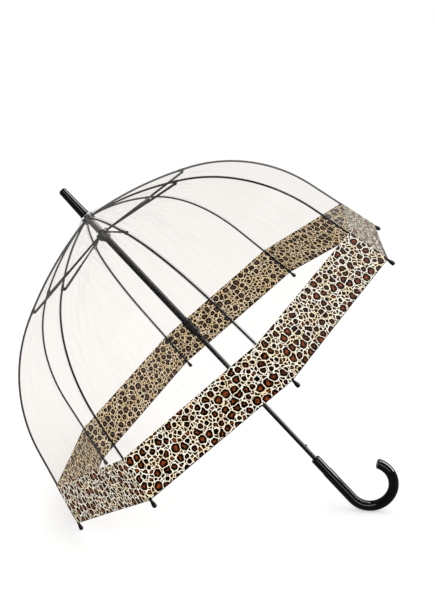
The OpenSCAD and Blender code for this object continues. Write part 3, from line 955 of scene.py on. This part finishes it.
def leopard(name, ground, ground_deep, ring, heart, heart_deep, roughness):
    """Leopard spots over the UV map in mm: u runs round the hem, and v up from it.

    Cells 17 mm apart each hold a rosette of random radius: a ring of ink of uneven thickness round
    a brown heart. Between the rosettes the cells of an 8 mm pattern, cut back from each other's
    edges, make the small spots, and those with room have a heart too. Depths into a spot are in mm.
    """
    material, tree, output = new_material(name)
    uv = add_node(tree, "ShaderNodeUVMap", uv_map="millimetres").outputs[0]
    split = add_node(tree, "ShaderNodeSeparateXYZ", [uv])

    # The ink wanders by up to 2 mm, over 6 mm.
    wander = add_node(
        tree,
        "ShaderNodeTexNoise",
        {"Vector": uv, "Scale": 1 / 6.0, "Detail": 1.5},
        noise_dimensions="2D",
    ).outputs["Color"]
    shift = add_node(
        tree, "ShaderNodeVectorMath", [wander, (0.5, 0.5, 0.5)], operation="SUBTRACT"
    ).outputs[0]
    bent = add_node(
        tree, "ShaderNodeVectorMath", [shift, (4.0, 4.0, 0.0), uv], operation="MULTIPLY_ADD"
    ).outputs[0]

    # Rosettes: the depth in from the rim is the least of size - distance and distance to a wall.
    cells = add_node(
        tree,
        "ShaderNodeTexVoronoi",
        {"Vector": bent, "Scale": 1 / ROSETTE, "Randomness": 0.75},
        voronoi_dimensions="2D",
        feature="F1",
    )
    radial = add_node(
        tree, "ShaderNodeMath", [cells.outputs["Distance"], ROSETTE], operation="MULTIPLY"
    ).outputs[0]
    luck = add_node(tree, "ShaderNodeSeparateColor", [cells.outputs["Color"]]).outputs[0]
    size = add_node(
        tree, "ShaderNodeMapRange", [luck, 0.0, 1.0, 4.4, 9.0], interpolation_type="SMOOTHSTEP"
    ).outputs[0]
    walls = add_node(
        tree,
        "ShaderNodeTexVoronoi",
        {"Vector": bent, "Scale": 1 / ROSETTE, "Randomness": 0.75},
        voronoi_dimensions="2D",
        feature="DISTANCE_TO_EDGE",
    ).outputs["Distance"]
    to_wall = add_node(
        tree, "ShaderNodeMath", [walls, ROSETTE, -0.7], operation="MULTIPLY_ADD"
    ).outputs[0]
    to_size = add_node(tree, "ShaderNodeMath", [size, radial], operation="SUBTRACT").outputs[0]
    big_rim = add_node(tree, "ShaderNodeMath", [to_size, to_wall], operation="MINIMUM").outputs[0]

    # Small spots keep 0.75 mm from their cell's wall and 1.3 mm from a rosette.
    small = add_node(
        tree,
        "ShaderNodeTexVoronoi",
        {"Vector": bent, "Scale": 1 / SMALL_SPOT, "Randomness": 0.95},
        voronoi_dimensions="2D",
        feature="DISTANCE_TO_EDGE",
    ).outputs["Distance"]
    in_cell = add_node(
        tree, "ShaderNodeMath", [small, SMALL_SPOT, -0.75], operation="MULTIPLY_ADD"
    ).outputs[0]
    room = add_node(tree, "ShaderNodeMath", [-1.3, big_rim], operation="SUBTRACT").outputs[0]
    small_rim = add_node(tree, "ShaderNodeMath", [in_cell, room], operation="MINIMUM").outputs[0]

    # The ring of ink is 2.9 to 5.2 mm thick. Inside it, and 2 mm into a small spot, is the heart.
    depth_in = add_node(
        tree, "ShaderNodeMath", [big_rim, small_rim], operation="MAXIMUM"
    ).outputs[0]
    outside = add_node(
        tree,
        "ShaderNodeMapRange",
        [depth_in, -0.15, 0.2, 1.0, 0.0],
        interpolation_type="SMOOTHSTEP",
    ).outputs[0]
    broken = add_node(
        tree,
        "ShaderNodeTexNoise",
        {"Vector": uv, "Scale": 1 / 3.6, "Detail": 1.0},
        noise_dimensions="2D",
    ).outputs["Fac"]
    thick = add_node(
        tree, "ShaderNodeMapRange", [broken, 0.38, 0.62, 5.2, 2.9], interpolation_type="SMOOTHSTEP"
    ).outputs[0]
    past_ring = add_node(tree, "ShaderNodeMath", [big_rim, thick], operation="SUBTRACT").outputs[0]
    big_heart = add_node(
        tree,
        "ShaderNodeMapRange",
        [past_ring, -0.2, 0.4, 0.0, 1.0],
        interpolation_type="SMOOTHSTEP",
    ).outputs[0]
    small_heart = add_node(
        tree,
        "ShaderNodeMapRange",
        [small_rim, 2.0, 2.5, 0.0, 1.0],
        interpolation_type="SMOOTHSTEP",
    ).outputs[0]
    inside = add_node(
        tree, "ShaderNodeMath", [big_heart, small_heart], operation="MAXIMUM"
    ).outputs[0]

    # The ground is uneven over 26 mm, and a dark line binds the hem and the weld at each rib.
    tone = add_node(
        tree,
        "ShaderNodeTexNoise",
        {"Vector": uv, "Scale": 1 / 26.0, "Detail": 2.0},
        noise_dimensions="2D",
    ).outputs["Fac"]
    deepens = add_node(
        tree, "ShaderNodeMapRange", [tone, 0.4, 0.65, 0.0, 1.0], interpolation_type="SMOOTHSTEP"
    ).outputs[0]
    browner = add_node(
        tree, "ShaderNodeMapRange", [broken, 0.4, 0.62, 0.0, 1.0], interpolation_type="SMOOTHSTEP"
    ).outputs[0]
    hem_line = add_node(
        tree,
        "ShaderNodeMapRange",
        [split.outputs["Y"], 0.9, 1.4, 1.0, 0.0],
        interpolation_type="SMOOTHSTEP",
    ).outputs[0]
    from_rib = add_node(
        tree, "ShaderNodeMath", [split.outputs["X"], PANEL_W / 2, -PANEL_W / 2], operation="WRAP"
    ).outputs[0]
    off_rib = add_node(tree, "ShaderNodeMath", [from_rib], operation="ABSOLUTE").outputs[0]
    rib_line = add_node(
        tree,
        "ShaderNodeMapRange",
        [off_rib, 0.3, 0.8, 0.7, 0.0],
        interpolation_type="SMOOTHSTEP",
    ).outputs[0]
    edge = add_node(tree, "ShaderNodeMath", [hem_line, rib_line], operation="MAXIMUM").outputs[0]

    paper = add_node(
        tree,
        "ShaderNodeMix",
        {"Factor": deepens, "A": linear(ground), "B": linear(ground_deep)},
        data_type="RGBA",
    ).outputs[2]
    brown = add_node(
        tree,
        "ShaderNodeMix",
        {"Factor": browner, "A": linear(heart), "B": linear(heart_deep)},
        data_type="RGBA",
    ).outputs[2]
    spot = add_node(
        tree, "ShaderNodeMix", {"Factor": inside, "A": linear(ring), "B": brown}, data_type="RGBA"
    ).outputs[2]
    print_colour = add_node(
        tree, "ShaderNodeMix", {"Factor": outside, "A": spot, "B": paper}, data_type="RGBA"
    ).outputs[2]
    colour = add_node(
        tree,
        "ShaderNodeMix",
        {"Factor": edge, "A": print_colour, "B": linear(ring)},
        data_type="RGBA",
    ).outputs[2]
    bump = add_node(
        tree, "ShaderNodeBump", {"Height": tone, "Distance": 0.0008, "Strength": 0.4}
    ).outputs["Normal"]
    shader = add_node(
        tree,
        "ShaderNodeBsdfPrincipled",
        {
            "Base Color": colour,
            "Roughness": roughness,
            "Specular IOR Level": 0.008,
            "Normal": bump,
        },
    )
    tree.links.new(shader.outputs[0], output.inputs["Surface"])
    return material


# Printed ink is flat and full in colour outside. Seen through the film from inside, the ground is
# warmer, the brown fades to grey and the ring is a softer black.
PRINT_OUTSIDE = leopard(
    "printed PVC film, print side", "#f6eedd", "#efdcba", "#020101", "#93461d", "#4a2410", 0.35
)
PRINT_INSIDE = leopard(
    "printed PVC film, back of print", "#fbe6c2", "#f3d6a6", "#130d0a", "#755a48", "#3d2d25", 0.4
)

# Half way between two ribs the band sags inward by 0.5 mm at its top and 1.4 mm at the hem.
sag = 0.9 * (1 - np.cos(2 * math.pi * half_share)) / 2
inward = np.linspace(0.6, 1.6, len(border_line))[:, None] * sag[None, :]
inner_face = border_line + BORDER_T * np.array([-math.cos(LEAN), math.sin(LEAN)])
up_from_hem = BORDER_W - along(border_line)
for n in RIBS:
    for half, sign in (("left", -1), ("right", 1)):
        spread = sign * half_share
        outer_points = across_gore(n, border_line, spread, inward)
        inner_points = across_gore(n, inner_face, spread, inward)
        round_hem = (n + spread) * PANEL_W
        uv = np.stack(np.broadcast_arrays(round_hem[None, :], up_from_hem[:, None]), axis=-1)
        strip = piece(
            f"Border_{n}_{half}",
            [
                shell(outer_points, uv=uv, slot=0, flip=sign < 0),
                shell(inner_points, uv=uv, slot=1, flip=sign > 0),
            ],
            [PRINT_OUTSIDE, PRINT_INSIDE],
            f"lower_{n}",
            [f"border_{n}"],
        )
        gathers(strip, n, border_line, chord(outer_points))


# ---- Floor, light and camera ----------------------------------------------------------------
# White studio paper lies flat under an even white tent. Two soft boxes light the umbrella, and
# two strip lights are there only for the lines of gloss on its black parts.

FLOOR_REACH = 40.0


def paper_floor():
    """A flat square of paper, FLOOR_REACH metres to each side, at height nothing."""
    reach = np.array([-FLOOR_REACH, FLOOR_REACH])
    points = np.stack(
        np.broadcast_arrays(reach[None, :], reach[:, None], np.zeros((2, 2))), axis=-1
    )
    block = shell(points)
    mesh = bpy.data.meshes.new("Paper_floor")
    mesh.from_pydata(block["verts"].tolist(), [], block["faces"][0].tolist())
    obj = bpy.data.objects.new("Paper_floor", mesh)
    bpy.context.scene.collection.objects.link(obj)
    # Uncoated paper is matt, and glows as paper does when it is also lit from behind.
    material, tree, output = new_material("white studio paper")
    shader = add_node(
        tree,
        "ShaderNodeBsdfPrincipled",
        {
            "Base Color": linear("#c4c4c4"),
            "Roughness": 0.9,
            "Specular IOR Level": 0.0,
            "Emission Color": (1.0, 1.0, 1.0, 1.0),
            "Emission Strength": 0.46,
        },
    )
    tree.links.new(shader.outputs[0], output.inputs["Surface"])
    mesh.materials.append(material)


def placed(right, up, back, place):
    """A matrix that turns an object's x, y and z to right, up and back, and moves it to a place."""
    matrix = np.eye(4)
    matrix[:3] = np.column_stack([right, up, back, place])
    return Matrix(matrix.tolist())


def soft_box(name, place, aim, width, height, power, along_height, only_in_gloss=False):
    """An area light that faces a point, with its height turned as near as can be to a direction.

    A card that is only for reflections doesn't light the matt surfaces.
    """
    light = bpy.data.lights.new(name, "AREA")
    light.shape = "RECTANGLE"
    light.size, light.size_y, light.energy = width, height, power
    obj = bpy.data.objects.new(name, light)
    bpy.context.scene.collection.objects.link(obj)
    back = unit(np.array(place, float) - np.array(aim, float))
    right = unit(np.cross(along_height, back))
    obj.matrix_world = placed(right, np.cross(back, right), back, place)
    obj.visible_diffuse = not only_in_gloss
    obj.visible_camera = False


paper_floor()
soft_box("Top_box", (-0.3, 0.2, 3.4), (0, 0.3, 0.0), 4.0, 3.0, 24, level)
soft_box("Front_fill", (0.6, -4.0, 2.4), (0, 0, 0.3), 3.0, 2.0, 40, (0.0, 0.0, 1.0))
shaft_middle = on_umbrella(0.0, 0.0, 400.0)
over_shaft = shaft_middle + 2.0 * unit(hookward + 0.12 * level)
soft_box("Edge_strip", over_shaft, shaft_middle, 0.8, 3.0, 700, down, only_in_gloss=True)
before_shaft = shaft_middle + 2.1 * unit(0.42 * hookward - level)
soft_box("Front_strip", before_shaft, shaft_middle, 0.35, 2.4, 90, down, only_in_gloss=True)

world = bpy.data.worlds.new("Studio")
bpy.context.scene.world = world
world.use_nodes = True
world.node_tree.nodes.clear()
tent = add_node(
    world.node_tree, "ShaderNodeBackground", {"Color": (1.0, 1.0, 1.0, 1.0), "Strength": 1.0}
)
add_node(world.node_tree, "ShaderNodeOutputWorld", {"Surface": tent.outputs[0]})

CAMERA_PLACE = (0.1019, -2.29133, 1.04232)
CAMERA_TURN = math.radians(2.671)
CAMERA_RISE = math.radians(14.754)
CAMERA_ROLL = math.radians(2.057)
back = np.array(
    [
        math.sin(CAMERA_TURN) * math.cos(CAMERA_RISE),
        -math.cos(CAMERA_TURN) * math.cos(CAMERA_RISE),
        math.sin(CAMERA_RISE),
    ]
)
right = np.array([math.cos(CAMERA_TURN), math.sin(CAMERA_TURN), 0.0])
up = np.cross(back, right)
rolled_right = math.cos(CAMERA_ROLL) * right + math.sin(CAMERA_ROLL) * up
rolled_up = -math.sin(CAMERA_ROLL) * right + math.cos(CAMERA_ROLL) * up
lens = bpy.data.cameras.new("Camera")
lens.sensor_fit = "HORIZONTAL"
lens.sensor_width = 36.0
lens.lens = 96.38
camera = bpy.data.objects.new("Camera", lens)
bpy.context.scene.collection.objects.link(camera)
camera.matrix_world = placed(rolled_right, rolled_up, back, CAMERA_PLACE)
bpy.context.scene.camera = camera
bpy.context.scene.view_settings.view_transform = "Standard"
